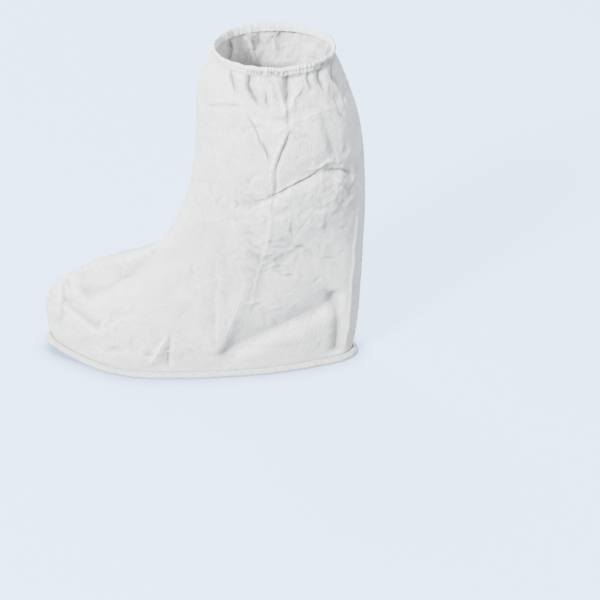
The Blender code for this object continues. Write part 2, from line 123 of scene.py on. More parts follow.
# Creases as lines in the side view, (y, z) in millimetres like their sizes. Each has its own width to the
# left and to the right of its line as seen from +X along the path, and its height is negative for a
# valley. A crisp one is 1 and has flat flanks and a sharp line, and a soft one is 0 and has hollow flanks.
CREASE_COLUMNS = ("path", "left_width", "right_width", "height", "crisp")
CREASES = {
    LEFT: (
        # The long crease from the hem to the ankle
        (((-6, 422), (0, 391), (4, 383), (8, 369), (13, 354), (14, 340)), 13, 5, 5.6, 0.9),
        (((20, 424), (15, 391), (14, 374), (15, 352)), 15, 14, -7.8, 0),
        (((18, 376), (16, 364), (16, 350), (16, 328)), 5, 6, -2.6, 0.7),
        (((35, 380), (23, 364), (18, 348)), 5, 7, 2.6, 1),
        (((14, 343), (-1, 281), (-2, 247), (-6, 200), (-13, 160)), 30, 55, 4.8, 0.1),
        (((0, 300), (-3, 250)), 5, 3, 2.2, 1),
        (((4, 300), (1, 256), (-3, 222)), 3, 10, -2, 0.6),
        (((20, 334), (11, 311), (2, 283)), 5, 3, -2.2, 1),
        (((14, 330), (4, 303), (0, 281)), 3, 4, 1.8, 1),
        (((-36, 360), (-22, 338), (-9, 310)), 9, 12, 2.6, 0.5),
        (((-30, 350), (-12, 315), (-2, 290)), 5, 2, -2.4, 1),
        # Short folds that hang from the hem
        (((-49, 412), (-47, 392), (-45, 376), (-41, 362)), 7, 2, -2.6, 1),
        (((-31, 418), (-28, 388), (-29, 377), (-24, 367), (-14, 354)), 10, 3, -6.2, 1),
        (((-37, 414), (-34, 388), (-34, 370)), 4, 7, 2.6, 0.5),
        (((-9, 378), (-8, 364), (-4, 350)), 6, 2, -2.6, 1),
        (((-18, 412), (-14, 380), (-15, 364)), 4, 4, 1.6, 0.5),
        (((40, 416), (38, 384), (44, 366)), 7, 3, -3, 0.8),
        (((50, 412), (50, 378), (58, 360)), 6, 3, -2.6, 0.8),
        (((60, 408), (64, 376), (74, 360)), 5, 3, -2.2, 0.8),
        (((-80, 341), (-53, 354), (-27, 354)), 4, 7, -1, 1),
        # The yoke, the flat facet under it, and the slanting fold that the facet ends at
        (((-2, 323), (17, 336), (54, 345), (96, 340)), 10, 60, 2.3, 0.8),
        (((50, 350), (63, 310), (73, 278)), 20, 6, -2.2, 0.2),
        (((-46, 233), (-24, 238), (-3, 249), (26, 264), (54, 275), (78, 268),
          (100, 250)), 40, 12, -3.6, 0.2),
        (((-26, 238), (-3, 249), (26, 264), (56, 275)), 2.5, 4, -1.9, 1),
        (((-3, 252), (26, 267), (54, 278)), 4, 2, 1.2, 1),
        (((-40, 211), (18, 215), (90, 221)), 14, 30, 0.8, 0.2),
        (((36, 282), (52, 279), (62, 284), (78, 278)), 4, 4, 2, 1),
        (((56, 273), (78, 268), (94, 252)), 3, 5, -2, 1),
        (((64, 266), (78, 252), (90, 246)), 4, 6, 2.2, 1),
        (((70, 258), (84, 238), (88, 222)), 5, 4, -0.9, 1),
        (((-40, 255), (-20, 276), (-6, 284)), 10, 6, -1, 0.4),
        (((-46, 243), (-41, 234), (-44, 222)), 4, 3, -1.4, 1),
        # The ankle, with one long crackled line
        (((-37, 165), (-7, 188), (9, 189), (35, 169), (53, 147)), 5, 16, -1.6, 0.3),
        (((-15, 147), (0, 153), (18, 149), (29, 120)), 4, 8, 1.2, 0.9),
        (((-3, 231), (-7, 188), (-17, 152), (-23, 122), (-29, 89)), 3, 3, 1.2, 1),
        (((1, 222), (-3, 190), (-11, 154)), 3, 3, -0.4, 1),
        (((20, 226), (18, 200), (26, 186)), 3, 3, -0.8, 1),
        (((-42, 194), (-28, 198), (-14, 194)), 4, 6, -1, 0.8),
        # The heel: a dark facet over a slanting valley, with a wedge in front of it
        (((-72, 24), (-48, 36), (-18, 50), (29, 68), (82, 86)), 56, 20, -9, 0),
        (((-46, 215), (-41, 162), (-33, 129), (-54, 72), (-68, 24)), 16, 26, 4.8, 0.5),
        (((-65, 167), (-66, 108), (-69, 29)), 10, 4, 1.6, 0.9),
        (((74, 104), (76, 49), (74, 0)), 9, 13, -6, 0),
        (((97, 279), (97, 230), (96, 187), (93, 125), (88, 60), (85, 10)), 3, 3, 1.4, 1),
        (((-60, 34), (-20, 34), (40, 32)), 6, 12, -1, 0.3),
        # The ball of the foot and the toe
        (((-125, 60), (-139, 36), (-153, 10)), 12, 7, 3.2, 0.9),
        (((-124, 61), (-127, 36), (-129, 8)), 3, 14, -3, 0.9),
        (((-258, 108), (-260, 76), (-262, 44)), 6, 10, 2.8, 0.6),
        (((-254, 104), (-257, 70), (-260, 46)), 5, 2, -1.2, 0.9),
        (((-256, 88), (-248, 73), (-228, 61), (-205, 50)), 26, 6, -4, 0.1),
        (((-206, 22), (-192, 34), (-174, 38)), 8, 8, -1.2, 0.4),
        (((-240, 90), (-204, 106), (-176, 124), (-142, 152)), 40, 16, -8.8, 0),
        (((-120, 120), (-92, 104), (-80, 78)), 10, 12, 1.2, 0.2),
    ),
    RIGHT: (
        (((22, 398), (10, 350), (6, 300), (-10, 215), (-26, 140)), 30, 46, 5, 0.5),
        (((-38, 418), (-20, 350), (4, 310)), 12, 4, -5.6, 0.6),
        (((52, 418), (30, 350), (12, 318)), 8, 14, 3.6, 0.8),
        (((66, 414), (62, 372), (68, 352)), 6, 3, -2.8, 0.9),
        (((-52, 414), (-50, 374), (-56, 352)), 6, 3, -2.6, 0.9),
        (((6, 412), (0, 376), (4, 358)), 6, 3, -2.6, 0.9),
        (((-70, 340), (-20, 328), (30, 336), (84, 344)), 12, 50, 4.4, 0.6),
        (((-60, 262), (-10, 250), (46, 276), (96, 262)), 36, 10, -4.4, 0.8),
        (((-50, 206), (10, 212), (82, 204)), 16, 30, 2.6, 0.4),
        (((-76, 180), (-40, 162), (10, 168), (70, 150)), 8, 20, -2.4, 0.6),
        (((-70, 24), (-20, 62), (30, 80), (88, 104)), 44, 20, -7.6, 0),
        (((-60, 124), (-70, 80), (-78, 20)), 18, 10, 3.6, 0.6),
        (((-130, 74), (-146, 46), (-158, 14)), 12, 8, 3.6, 0.9),
        (((-112, 60), (-118, 36), (-122, 10)), 5, 12, -2.8, 0.9),
        (((-246, 118), (-238, 90), (-214, 56)), 14, 8, -3, 0.6),
        (((-200, 110), (-170, 100), (-130, 108)), 18, 14, 2.2, 0.4),
        (((70, 150), (78, 100), (78, 40)), 8, 12, -3.4, 0.4),
        (((97, 279), (96, 187), (93, 125), (85, 10)), 3, 3, 1.4, 1),
    ),
}
CREASE_FADE = 0.014  # over which a crease runs out at its ends
CREASE_WANDER = 0.0012  # how far its line strays
WANDER_SIZE = 0.022
HOLLOW_POWER, FLAT_POWER = 2.0, 1.2  # of the flanks of a soft and of a crisp crease
BLUNT_CREASE = 0.0035  # rounding of a soft crease's line
FULL_CREASE = 0.0022  # height from which a crease has its full line
CREASE_LINE = 0.0022  # how far to each side the line reaches

# Short random creases on each side, besides those of the table
SMALL_CREASES = 220
SMALL_CREASE_LENGTH = (0.010, 0.034)
SMALL_CREASE_WIDTH = (0.0025, 0.0065)
SMALL_CREASE_HEIGHT = (0.0004, 0.0011)
SMALL_CREASE_BEND = 0.5  # radians at most at each of its joints
SIDE_REACH = ((-0.270, 0.100), (0.012, 0.385))  # y and z between which they lie
RARER = 0.04  # taken off their chance everywhere

# Shares of the white that the cloth loses to painted shade, or gains as painted highlight, and where
RIDGE_HEIGHT = 0.0005  # over the cloth around it, that counts as a sharp ridge or valley
# Painted shade in sharp valleys and painted highlight on sharp ridges
VALLEY_SHADE = 0.15
RIDGE_SHINE = 0.08
FOLD_DEPTH = 0.0022  # below the cloth around it, that counts as a sunk fold
# Painted shade in sunk folds
FOLD_SHADE = 0.26
SEAM_SHADE, SEAM_SHADE_REACH = 0.55, 0.0035  # painted shade where the cloth goes into the sole seam or the hem
FOOT_SHADE, FOOT_SHADE_REACH = 0.07, (0.003, 0.024)  # painted shade, growing towards the sole

# Where relief fades: ranges of the distance from the front and back seams, the sole seam and the hem
CREASE_FADES = ((0.0, 0.010), (0.003, 0.011), (0.0, 0.005))
CRUMPLE_FADES = ((0.002, 0.022), (0.001, 0.016), (0.0, 0.016))
CRUMPLE_KEPT = 0.3  # of it, right at the front and back seams and at the hem

# Relief along the front and back seams: how far from the seam, how wide and how high
SEAM_COLUMNS = ("middle", "width", "height")
SEAM_RIDGE = (0.0, 0.0022, 0.0011)
SEAM_GROOVE = (0.0050, 0.0020, -0.0007)
SEAM_PUCKER = (0.0040, 0.0060, 0.00024)
SEAM_PUCKER_PITCH, SEAM_PUCKER_DRIFT = 0.0110, 0.019

# Where the cloth is crumpled: centre and radii in the side view in millimetres, and how strongly
CRUMPLE_COLUMNS = ("y", "z", "radius_y", "radius_z", "strength")
CRUMPLES = {
    LEFT: (
        (72, 262, 40, 26, 1),
        (-4, 240, 46, 36, 0.8),
        (40, 225, 60, 50, 0.5),
        (6, 160, 60, 50, 0.6),
        (-16, 100, 20, 18, 0.6),
        (10, 345, 60, 50, 0.5),
        (70, 370, 30, 30, 0.8),
        (30, 90, 80, 60, 0.15),
        (-140, 30, 40, 22, 0.4),
        (-250, 80, 26, 50, 0.6),
        (-190, 40, 50, 40, 0.3),
    ),
    RIGHT: (
        (20, 250, 70, 80, 0.9),
        (20, 150, 80, 70, 0.8),
        (0, 360, 80, 60, 0.6),
        (-150, 50, 90, 40, 0.6),
    ),
}
CALM_SHARE = 0.20  # of the crumple's height, where none of these reach

# Relief of the crumpled cloth, from large facets to small cockles
RELIEF_COLUMNS = ("size", "height", "everywhere")
RELIEFS = (
    (0.038, 0.0026, 0.50),
    (0.018, 0.0014, 0.34),
    (0.0090, 0.0010, 0.20),
    (0.0052, 0.0007, 0.14),
)
RELIEF_BEND, BEND_SIZE = 0.7, 2.3  # of its coordinates, in its own sizes

# Folds that the elastic gathers, from many short ones at the hem to a few long ones
GATHER_COLUMNS = ("count", "reach", "depth", "phase")
GATHERS = (
    (14, 0.055, 0.0019, 1.57),
    (23, 0.036, 0.0013, 0.40),
    (47, 0.020, 0.0011, 1.90),
)
GATHER_KEPT, GATHER_FADE = 0.35, 0.010  # of a panel's gathers right at the hem, and how far down
HEM_GATHERS = 0.35  # of their depth, in the hem itself
GATHER_CREST, RIPPLE_CREST = (0.97, 1.3), (0.96, 1.29)  # sharpness, and what the wave is divided by

# Cross-sections in millimetres: outward from the seam or the hem line, and up
PROFILE_COLUMNS = ("outward", "up")
BINDING_PROFILE = (
    (1.6, 1.6), (1.6, 3), (3, 3.7), (5.2, 3.4), (7.4, 2.2), (8.5, 0.6),
    (8.8, -1.2), (8.2, -2.6), (7.2, -3), (5, -3), (1, -3), (-1.8, -3),
    (-1.8, -2), (5.5, -2), (6.6, 0), (5.5, 1.6),
)
WRINKLE_PITCHES = (0.0095, 0.0230)
WRINKLE_HEIGHTS = (0.00012, 0.00030)
WRINKLE_SLANT = 0.3
WRINKLE_SHADE, BINDING_SEAM_SHADE = 0.05, 0.60  # painted shade in the hollows of the wrinkles and along the seam, as shares of the white

HEM_PROFILE = (
    (-1, -1), (-1.3, 1), (-1.4, 4), (-1.1, 7), (-0.2, 8.4), (0.9, 8.6),
    (1.9, 7.6), (2.4, 5.8), (2, 4), (1.1, 3), (1.8, 2.2), (2, 0.8),
    (1.6, -0.6), (1, -1.4), (0.8, -0.8),
)
HEM_GROOVE = 0.0030
PUCKER_PITCH, PUCKER_DEPTH = 0.0056, 0.0018
RUFFLE_PITCH = 0.0042
RUFFLE_REACH = (0.00030, 0.00070)  # outward everywhere, and more of it above the groove
RUFFLE_RISE, SWAY_RISE = 0.00060, 0.00050
PUCKER_SHADE, GROOVE_SHADE, RUFFLE_SHADE = 0.85, 0.08, 0.12  # painted shade in the puckers, in the groove and in the hollows of the ruffles, as shares of the white

# Stitches: the line they follow from the seam or the hem line, and their own sizes
STITCH_COLUMNS = ("outward", "up", "length", "radius", "lift")
BINDING_STITCH = (0.0034, 0.0034, 0.0026, 0.00024, 0.0001)
HEM_STITCH = (0.0014, HEM_GROOVE, 0.0025, 0.00022, 0.0002)
STITCH_RINGS, STITCH_SIDES = 7, 6

# Bump relief of the nonwoven. Fine rows take the finish's grain, and the crumpling of a panel sets the
# strength of crumpled ones.
BUMP_COLUMNS = ("relief", "strength", "depth", "fine", "crumpled")
BUMPS = (
    ("dents", 0.5, 0.0009, False, True),
    ("kinks", 0.5, 0.0003, False, True),
    ("cockles", 0.6, 0.0006, False, False),
    ("strands", 0.8, 0.0008, True, False),
    ("linen", 0.9, 0.0005, True, False),
    ("crease_lines", 0.9, 0.0010, False, False),
)
# Tints of the white: the nonwoven's own strands and clouds, and painted shade along the valleys of the
# creases
STRAND_TINT, CLOUD_TINT, CREASE_LINE_SHADE = (0.85, 1.20), (0.91, 1.0), (0.50, 1.0)
CLOUD_RANGE = (0.35, 0.65)  # of the noise, over which the clouds' tint goes
KINK_WIDTH = 0.07
NONWOVEN_GLOSS = {"Specular IOR Level": 0.35, "Sheen Weight": 0.12, "Sheen Roughness": 0.5}

# The paper that the boot stands on: the light that it gives off, and the painted soft shadow under the boot
FLOOR_HALF = 12.0
PAPER_GLOW = (2.16, 3.05, 4.66)
CONTACT_REACH = 0.030
CONTACT_SHADE = 0.18  # of the glow, left right under the boot by the painted shadow

LIGHT_AIM = (0, -0.05, 0.18)
LIGHT_COLUMNS = ("name", "place", "size", "setting")
LIGHTS = (
    ("key", (2.25, -1.75, 2.05), 0.6, "key_power"),
    ("side", (1.05, 2.50, 1.40), 1.4, "side_power"),
    ("back", (-2.2, -0.8, 2.1), 1.8, "back_power"),
)
SKY_COLOUR = (0.98, 0.99, 1.0, 1)

# Camera, as the photo was taken: level, tilted 30 degrees down. Angles are in degrees.
CAMERA_PLACE = (1.78784, 0.02919, 1.10196)
CAMERA_TURN = (60, 0, 90)
CAMERA_FIELD = 20.02


class ClothSettings(PropertyGroup):
    """Sizes of the cloth that a user may change."""

    wall: FloatProperty(
        name="Wall", description="Thickness of the panels' cloth", default=0.0007, unit="LENGTH")
    columns: IntProperty(
        name="Columns", description="Faces across a panel, from seam to seam", default=204)
    rows: IntProperty(
        name="Rows", description="Faces up a panel", default=236)
    stations: IntProperty(
        name="Stations", description="Faces round the hem and the binding", default=900)
    crumple: FloatProperty(
        name="Crumple", description="Strength of the crumpled relief", default=1.0, subtype="FACTOR")
    stitch_pitch: FloatProperty(
        name="Stitch pitch", description="From one stitch to the next", default=0.0036, unit="LENGTH")


def colour_property(name, description, default):
    """A colour that a user may change."""
    return FloatVectorProperty(name=name, description=description, default=default, subtype="COLOR", size=3)


class ColourSettings(PropertyGroup):
    """Colours of the finishes."""

    panel: colour_property("Panels", "White of the nonwoven", (0.86, 0.865, 0.87))
    sole: colour_property("Sole", "White of the coated sole", (0.80, 0.80, 0.79))
    binding: colour_property("Binding", "White of the binding", (0.61, 0.61, 0.605))
    thread: colour_property("Thread", "Sewing thread", (0.74, 0.73, 0.70))
    floor: colour_property("Floor", "Floor and backdrop", (0.15, 0.20, 0.30))


def power_property(name, description, default):
    """The power of a light, that a user may change."""
    return FloatProperty(name=name, description=description, default=default, unit="POWER")


class StageSettings(PropertyGroup):
    """Light of the stage."""

    key_power: power_property("Key light", "Power of the light at the upper left", 665.0)
    side_power: power_property("Side light", "Power of the light at the right", 95.0)
    back_power: power_property("Back light", "Power of the light behind", 200.0)
    sky: FloatProperty(
        name="Sky", description="Strength of the light from all round", default=0.665)


def named(names, row):
    """A table row as a dictionary."""
    return dict(zip(names, row))


def column(rows, names, name):
    """One named column of a table, as an array."""
    return np.array([named(names, row)[name] for row in rows])


def smooth(knots, values, at):
    """Cubic curve through the knots whose slope at each knot is that of the line between its two
    neighbours, read at the places asked for."""
    slopes = np.gradient(values, knots)
    at = np.clip(at, knots[0], knots[-1])
    left = np.clip(np.searchsorted(knots, at, side="right") - 1, 0, len(knots) - 2)
    span = knots[left + 1] - knots[left]
    s = (at - knots[left]) / span
    return (
        (2 * s**3 - 3 * s**2 + 1) * values[left]
        + (s**3 - 2 * s**2 + s) * span * slopes[left]
        + (3 * s**2 - 2 * s**3) * values[left + 1]
        + (s**3 - s**2) * span * slopes[left + 1]
    )


def step(low, high, value):
    """0 below low, 1 above high, and 3s²-2s³ between."""
    s = np.clip((value - low) / (high - low), 0, 1)
    return s * s * (3 - 2 * s)


def bell(value, middle, width):
    """exp(-s²), where s is the distance from the middle in widths."""
    return np.exp(-(((value - middle) / width) ** 2))


def crested(turn, crest):
    """A wave with sharp crests: arcsin(sharpness times sine), divided to reach about 1."""
    sharpness, peak = crest
    return np.arcsin(sharpness * np.sin(turn)) / peak


def loop_knots():
    """How far up the boot each loop is, as a share of the seams' mean length."""
    ends = [
        np.hypot(
            np.diff(column(LOOPS, LOOP_COLUMNS, side + "_y")),
            np.diff(column(LOOPS, LOOP_COLUMNS, side + "_z")),
        )
        for side in ("front", "back")
    ]
    way = np.concatenate([[0], np.cumsum(sum(ends))])
    return way / way[-1]


def loop_value(name, up):
    """A column of the loop table at the height shares asked for."""
    return smooth(loop_knots(), column(LOOPS, LOOP_COLUMNS, name), up)


def toe_lift(y):
    """Toe spring: a parabola ahead of its start."""
    ahead = np.clip((SPRING_START_Y - y) / (SPRING_START_Y - TOE_TIP_Y), 0, None)
    return TOE_SPRING * ahead**2


def placed(points):
    """Bends points sideways by a parabola towards the toe tip."""
    ahead = np.clip((TURN_START_Y - points[..., 1:2]) / (TURN_START_Y - TOE_TIP_Y), 0, None)
    return points - TOE_TURN * ahead**2 * np.array([1.0, 0.0, 0.0])


def seat_height(y):
    """Height of the panels' feet over the sole."""
    return WALL + 2 * GAP + toe_lift(y)


def plain_surface(angle, up):
    """Inner face of the uppers: at each height share a slanted loop, whose x is half width times the
    sine of the angle times the plan's share, and whose y and z run straight between its two seams."""
    along = -np.cos(angle)
    front_y, front_z = loop_value("front_y", up), loop_value("front_z", up)
    back_y, back_z = loop_value("back_y", up), loop_value("back_z", up)
    share = smooth(column(PLAN, PLAN_COLUMNS, "along"), column(PLAN, PLAN_COLUMNS, "share"), along)
    y = (front_y + back_y) / 2 + along * (back_y - front_y) / 2
    z = (front_z + back_z) / 2 + along * (back_z - front_z) / 2
    plan = 1 + (share - 1) * (1 - loop_value("roundness", up))
    x = loop_value("half_width", up) * np.sin(angle) * plan
    x = x * (1 - (1 - loop_value("front_share", up)) * step(*FRONT_NARROWING, along))
    lowest = named(LOOP_COLUMNS, LOOPS[0])
    straight = lowest["front_z"] + (1 + along) * (lowest["back_z"] - lowest["front_z"]) / 2
    settle = 1 - step(0, loop_knots()[2], up)
    return np.stack([x, y, z + (seat_height(y) - straight) * settle], axis=-1)


def unit(vectors):
    """Vectors of length 1."""
    return vectors / np.maximum(np.linalg.norm(vectors, axis=-1, keepdims=True), 1e-12)


def normals(points):
    """Unit normals of a grid: the step across it times the step up it."""
    return unit(np.cross(np.gradient(points, axis=1), np.gradient(points, axis=0)))


def cloth_lengths(points):
    """Lengths along the cloth in metres: from the front seam, from the back seam, and up from the
    sole seam, each the running sum of the distances between grid points."""
    across = np.linalg.norm(np.diff(points, axis=1), axis=-1)
    across = np.concatenate([np.zeros((len(points), 1)), np.cumsum(across, axis=1)], axis=1)
    rise = np.linalg.norm(np.diff(points, axis=0), axis=-1)
    rise = np.concatenate([np.zeros((1, points.shape[1])), np.cumsum(rise, axis=0)], axis=0)
    return across, across[:, -1:] - across, rise


def drawn(seed, i, j):
    """Random numbers from -1 to 1 that belong to whole numbers i and j."""
    table = np.random.default_rng(seed).uniform(-1, 1, (64, 64))
    return table[i % 64, j % 64]


def facet_relief(u, v, seed):
    """Flat triangles: heights drawn at the corners of a triangle lattice of side 1, joined linearly."""
    u, v = u - v / np.sqrt(3), 2 * v / np.sqrt(3)
    i, j = np.floor(u).astype(int), np.floor(v).astype(int)
    f, g = u - i, v - j
    near, right = drawn(seed, i, j), drawn(seed, i + 1, j)
    above, far = drawn(seed, i, j + 1), drawn(seed, i + 1, j + 1)
    lower = near * (1 - f - g) + right * f + above * g
    upper = far * (f + g - 1) + above * (1 - f) + right * (1 - g)
    return np.where(f + g < 1, lower, upper)


def soft_relief(u, v, seed):
    """Smooth noise: heights drawn at the corners of squares of side 1, eased between by 3s²-2s³."""
    i, j = np.floor(u).astype(int), np.floor(v).astype(int)
    f, g = step(0, 1, u - i), step(0, 1, v - j)
    low = drawn(seed, i, j) * (1 - f) + drawn(seed, i + 1, j) * f
    high = drawn(seed, i, j + 1) * (1 - f) + drawn(seed, i + 1, j + 1) * f
    return low * (1 - g) + high * g


def local_mean(values, reach):
    """Mean of a grid's values over a square of this many grid points to each side."""
    for axis in (0, 1):
        padded = np.pad(values, [(reach, reach) if axis == k else (0, 0) for k in (0, 1)], mode="edge")
        count, window = values.shape[axis], 2 * reach + 1
        values = sum(np.take(padded, np.arange(k, k + count), axis) for k in range(window)) / window
    return values


def crumple_share(side, y, z):
    """How crumpled the cloth is, from CALM_SHARE to 1: the highest of the zones' bells, exp(-distance²)
    in radii."""
    share = np.zeros_like(y)
    for row in CRUMPLES[side]:
        zone = named(CRUMPLE_COLUMNS, row)
        off_y, off_z = (y / MM - zone["y"]) / zone["radius_y"], (z / MM - zone["z"]) / zone["radius_z"]
        share = np.maximum(share, zone["strength"] * np.exp(-(off_y**2 + off_z**2)))
    return CALM_SHARE + (1 - CALM_SHARE) * share


def flattened(points):
    """Flat coordinates of a panel for its relief. A point's way inward from the widest place of its row
    counts along the boot on the shaft, where the seams face forward and back, and upward on the foot,
    where the seam lies on top."""
    width = np.abs(points[..., 0])
    inward = width.max(axis=1, keepdims=True) - width
    ahead = np.where(np.arange(width.shape[1]) < width.argmax(axis=1)[:, None], -1, 1)
    shaft = step(0.10, 0.22, points[..., 2])
    return points[..., 1] + ahead * shaft * inward, points[..., 2] + (1 - shaft) * inward


def crumpled_relief(side, points, share, strength):
    """Sum of facet reliefs of falling size, each on coordinates that a smooth noise has bent."""
    along, up = flattened(points)
    total = np.zeros_like(up)
    for number, row in enumerate(RELIEFS):
        relief = named(RELIEF_COLUMNS, row)
        seed = 20 + 10 * number + (side == RIGHT) * 5
        u, v = along / relief["size"] + 17 * number, up / relief["size"] + 9 * number
        bends = [soft_relief(u / BEND_SIZE, v / BEND_SIZE, seed + k) for k in (1, 2)]
        u, v = u + RELIEF_BEND * bends[0], v + RELIEF_BEND * bends[1]
        total += np.maximum(share, relief["everywhere"]) * relief["height"] * facet_relief(u, v, seed)
    return total * strength


def path_distance(path, y, z):
    """Distance to the nearest point of a broken line, positive on its left, the way along the line to
    that point, and the line's length."""
    away = np.full_like(y, np.inf)
    along = np.zeros_like(y)
    done = 0.0
    for (start_y, start_z), (end_y, end_z) in zip(path, path[1:]):
        length = np.hypot(end_y - start_y, end_z - start_z)
        run_y, run_z = (end_y - start_y) / length, (end_z - start_z) / length
        here = np.clip((y - start_y) * run_y + (z - start_z) * run_z, 0, length)
        off_y, off_z = y - start_y - here * run_y, z - start_z - here * run_z
        gap = np.hypot(off_y, off_z)
        nearer = gap < np.abs(away)
        away = np.where(nearer, np.where(run_y * off_z - run_z * off_y >= 0, gap, -gap), away)
        along = np.where(nearer, here + done, along)
        done += length
    return away, along, done


def small_creases(side):
    """Short random creases, each of three straight runs, more of them where the cloth is crumpled."""
    random = np.random.default_rng(71 if side == LEFT else 72)
    rows = []
    while len(rows) < SMALL_CREASES:
        y, z = (random.uniform(*reach) for reach in SIDE_REACH)
        length, left, right, height = (
            random.uniform(*reach)
            for reach in (SMALL_CREASE_LENGTH, SMALL_CREASE_WIDTH, SMALL_CREASE_WIDTH, SMALL_CREASE_HEIGHT)
        )
        heading, valley, chance = random.uniform(0, 2 * np.pi), random.integers(2), random.uniform()
        bends = random.uniform(-SMALL_CREASE_BEND, SMALL_CREASE_BEND, 3)
        share = crumple_share(side, np.array([y]), np.array([z]))[0]
        if chance > share - RARER:
            continue
        turns = heading + np.cumsum(bends)
        steps = np.stack([np.cos(turns), np.sin(turns)], axis=-1) * length / 3
        path = np.concatenate([[[y, z]], [y, z] + np.cumsum(steps, axis=0)])
        rows.append((path, left, right, height * (0.4 + share) * (-1 if valley else 1), 1.0))
    return rows


def large_creases(side):
    """The table's creases, in metres."""
    return [
        (MM * np.array(path), *(MM * size for size in sizes), crisp)
        for path, *sizes, crisp in CREASES[side]
    ]


def crease_relief(side, y, z):
    """Sum over the creases of height times (1 - distance / width)^power, where the power is 2 for a soft
    crease and 1.2 for a crisp one, and a soft one's line is rounded. With it, the distance to the nearest
    crease that has a line, positive on its left, and how strong that line is, from -1 for a valley to 1
    for a ridge."""
    total, nearest, strength = np.zeros_like(y), np.full_like(y, 1.0), np.zeros_like(y)
    for row in large_creases(side) + small_creases(side):
        crease = named(CREASE_COLUMNS, row)
        away, along, length = path_distance(crease["path"], y, z)
        width = np.where(away > 0, crease["left_width"], crease["right_width"])
        fade = min(CREASE_FADE, length / 2)
        ends = step(0, fade, along) * step(0, fade, length - along)
        power = HOLLOW_POWER + (FLAT_POWER - HOLLOW_POWER) * crease["crisp"]
        blunt = BLUNT_CREASE * (1 - crease["crisp"])
        off = np.sqrt(away**2 + blunt**2) - blunt
        total += crease["height"] * ends * np.clip(1 - off / width, 0, 1) ** power
        nearer = (np.abs(away) < np.abs(nearest)) & (crease["crisp"] > 0)
        nearest = np.where(nearer, away, nearest)
        full = crease["crisp"] * np.clip(crease["height"] / FULL_CREASE, -1, 1)
        strength = np.where(nearer, ends * full, strength)
    return total, nearest, strength


def gather_relief(angle, drop):
    """Sum over the gathers of a wave with sharp crests, whose phase wanders round the boot and which
    fades with the drop below the hem."""
    total = np.zeros_like(angle)
    for row in GATHERS:
        gather = named(GATHER_COLUMNS, row)
        count, phase = gather["count"], gather["phase"]
        turn = count * angle + phase + 1.3 * np.sin(3 * angle + phase) + 0.9 * np.sin(7 * angle + 2 * phase)
        wave = crested(turn, GATHER_CREST)
        uneven = 0.68 + 0.32 * np.sin(5 * angle + 3 * phase) * np.cos(4 * angle + phase)
        reach = gather["reach"] * (0.8 + 0.45 * np.sin(np.floor(turn / np.pi) * 2.4 + phase))
        total += gather["depth"] * uneven * wave * np.clip(1 - drop / reach, 0, 1) ** 1.3
    return total


def seam_relief(from_seam, rise, phase):
    """A low ridge where the panels meet, a shallow groove beside it, and puckers along the groove."""
    ridge, groove, pucker = (named(SEAM_COLUMNS, row) for row in (SEAM_RIDGE, SEAM_GROOVE, SEAM_PUCKER))
    drift = 1.5 * np.sin(rise / SEAM_PUCKER_DRIFT)
    wave = np.sin(2 * np.pi * rise / SEAM_PUCKER_PITCH + phase + drift)
    return (
        ridge["height"] * bell(from_seam, ridge["middle"], ridge["width"])
        + groove["height"] * bell(from_seam, groove["middle"], groove["width"])
        + pucker["height"] * wave * bell(from_seam, pucker["middle"], pucker["width"])
    )


def dressed_surface(angle, up, side, strength):
    """Inner face of a panel: the plain surface moved along its normals by creases, crumple and seams,
    and along its level normals by the gathers. With it, by name, each point's share of the white, with
    painted shade in a valley, in a sunk fold, at the sole and at its ends, and a painted highlight on a sharp
    ridge, and the distance and strength of the nearest crease."""
    points = plain_surface(angle, up)
    facing = normals(points)
    across, back, rise = cloth_lengths(points)
    y, z = points[..., 1], points[..., 2]
    wander = [soft_relief(across / WANDER_SIZE, rise / WANDER_SIZE, seed) for seed in (7, 8)]
    ways = (np.minimum(across, back), rise, rise[-1:] - rise)
    side_end, foot_end, top_end = (step(*fade, way) for fade, way in zip(CREASE_FADES, ways))
    ends = side_end * foot_end * top_end
    folds, nearest, line = crease_relief(side, y + CREASE_WANDER * wander[0], z + CREASE_WANDER * wander[1])
    quiet, foot, top = (step(*fade, way) for fade, way in zip(CRUMPLE_FADES, ways))
    crumples = crumpled_relief(side, points, crumple_share(side, y, z), strength)
    kept, rest = CRUMPLE_KEPT, 1 - CRUMPLE_KEPT
    crumples = crumples * (kept + rest * quiet) * foot * (kept + rest * top)
    seams = (seam_relief(across, rise, 0.0) + seam_relief(back, rise, 2.0)) * foot * top
    drop = HEM_BASE - z
    gathers = gather_relief(angle, drop) * (GATHER_KEPT + (1 - GATHER_KEPT) * step(0, GATHER_FADE, drop))
    relief = folds * ends + crumples + seams
    # Painted shade and highlight: the white darkens in valleys, sunk folds, the seams and towards the sole,
    # and brightens on ridges
    stands = np.tanh((relief + gathers - local_mean(relief + gathers, 2)) / RIDGE_HEIGHT)
    sunk = np.tanh(np.maximum(local_mean(relief, 9) - relief, 0) / FOLD_DEPTH)
    inside = [step(0.0, SEAM_SHADE_REACH, way) for way in ways[1:]]
    white = 1 + VALLEY_SHADE * np.minimum(stands, 0) + RIDGE_SHINE * np.maximum(stands, 0)
    white = white - SEAM_SHADE * (2 - inside[0] - inside[1])
    white = white * (1 - FOLD_SHADE * sunk) * (1 - FOOT_SHADE * (1 - step(*FOOT_SHADE_REACH, rise)))
    level = unit(facing * np.array([1.0, 1.0, 0.0]))
    moved = points + facing * relief[..., None] + level * gathers[..., None]
    return moved, {"white": white, "crease_distance": nearest, "crease_strength": line * ends}


def seam_line(angle):
    """The sole seam and its outward directions in plan, square to the chord between two points a short
    turn to either side."""
    level = np.zeros_like(angle)
    chord = plain_surface(angle + SHORT_TURN, level) - plain_surface(angle - SHORT_TURN, level)
    return plain_surface(angle, level), unit(np.stack([chord[:, 1], -chord[:, 0]], axis=-1))


def all_round(count):
    """Angles of the stations on a closed line."""
    return np.linspace(0, 2 * np.pi, count, endpoint=False)


